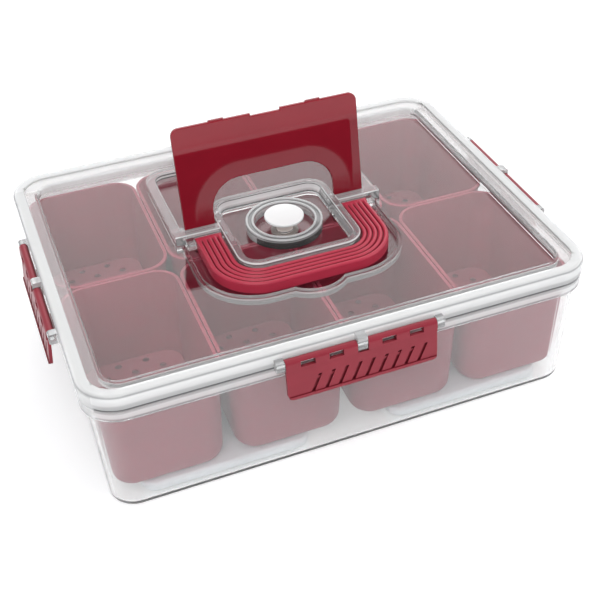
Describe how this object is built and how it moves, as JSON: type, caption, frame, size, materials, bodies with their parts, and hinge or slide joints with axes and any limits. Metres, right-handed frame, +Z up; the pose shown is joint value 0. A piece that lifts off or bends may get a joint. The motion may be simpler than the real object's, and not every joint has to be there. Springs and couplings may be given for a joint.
{
  "type": "chilled prep station",
  "caption": "Clear lidded food box with hinged side latches, a fold-down carry handle, a flip-up panel and a vent knob, holding cups with drain plates over freezer packs.",
  "frame": {"origin": "middle of the tub's underside, on the surface it stands on", "axes": "+X along the long side, +Y to the back, +Z up"},
  "size_m": [0.371, 0.292, 0.1792],
  "materials": {
    "clear_plastic": "polished clear moulding",
    "latch_red": "satin moulded red",
    "handle_red": "satin ribbed red",
    "panel_red": "polished dark red",
    "cup_pink": "frosted translucent pink",
    "pack_white": "blown white shell",
    "white_plastic": "polished white",
    "silicone": "soft translucent silicone"
  },
  "bodies": {
    "tub_assembly": {"tub": "clear_plastic", "cup_front_1": "cup_pink", "cup_front_2": "cup_pink", "cup_front_3": "cup_pink", "cup_front_4": "cup_pink", "cup_back_1": "cup_pink", "cup_back_2": "cup_pink", "cup_back_3": "cup_pink", "cup_back_4": "cup_pink", "drain_front_1": "cup_pink", "drain_front_2": "cup_pink", "drain_front_3": "cup_pink", "drain_front_4": "cup_pink", "drain_back_1": "cup_pink", "drain_back_2": "cup_pink", "drain_back_3": "cup_pink", "drain_back_4": "cup_pink", "ice_pack_left": "pack_white", "ice_pack_right": "pack_white"},
    "lid_assembly": {"lid": "clear_plastic", "lid_gasket": "silicone", "vent_collar": "clear_plastic", "latch_pin_front": "clear_plastic", "latch_pin_back": "clear_plastic", "latch_pin_left": "clear_plastic", "latch_pin_right": "clear_plastic", "handle_pin_left": "clear_plastic", "panel_pin_left": "clear_plastic", "handle_pin_right": "clear_plastic", "panel_pin_right": "clear_plastic"},
    "front_latch": {"latch_front": "latch_red"},
    "back_latch": {"latch_back": "latch_red"},
    "left_latch": {"latch_left": "latch_red"},
    "right_latch": {"latch_right": "latch_red"},
    "panel": {"flip_panel": "panel_red"},
    "handle": {"carry_handle": "handle_red"},
    "vent": {"vent_knob": "white_plastic", "vent_seal": "silicone"}
  },
  "joints": [
    {"name": "lid_lift", "type": "slide", "parent": "tub_assembly", "child": "lid_assembly", "axis": [0, 0, 1], "range_m": [0, 0.12]},
    {"name": "latch_front_open", "type": "hinge", "parent": "lid_assembly", "child": "front_latch", "pos_m": [0, -0.1404, 0.0975], "axis": [-1, 0, 0], "range_deg": [0, 114]},
    {"name": "latch_back_open", "type": "hinge", "parent": "lid_assembly", "child": "back_latch", "pos_m": [0, 0.1404, 0.0975], "axis": [1, 0, 0], "range_deg": [0, 114]},
    {"name": "latch_left_open", "type": "hinge", "parent": "lid_assembly", "child": "left_latch", "pos_m": [-0.1799, 0, 0.0975], "axis": [0, 1, 0], "range_deg": [0, 114]},
    {"name": "latch_right_open", "type": "hinge", "parent": "lid_assembly", "child": "right_latch", "pos_m": [0.1799, 0, 0.0975], "axis": [0, -1, 0], "range_deg": [0, 114]},
    {"name": "panel_fold", "type": "hinge", "parent": "lid_assembly", "child": "panel", "pos_m": [0, 0.0189, 0.1], "axis": [-1, 0, 0], "range_deg": [0, 81.5]},
    {"name": "handle_lift", "type": "hinge", "parent": "lid_assembly", "child": "handle", "pos_m": [0, 0.0035, 0.0994], "axis": [-1, 0, 0], "range_deg": [0, 88]},
    {"name": "vent_press", "type": "slide", "parent": "lid_assembly", "child": "vent", "axis": [0, 0, -1], "range_m": [0, 0.003]}
  ]
}
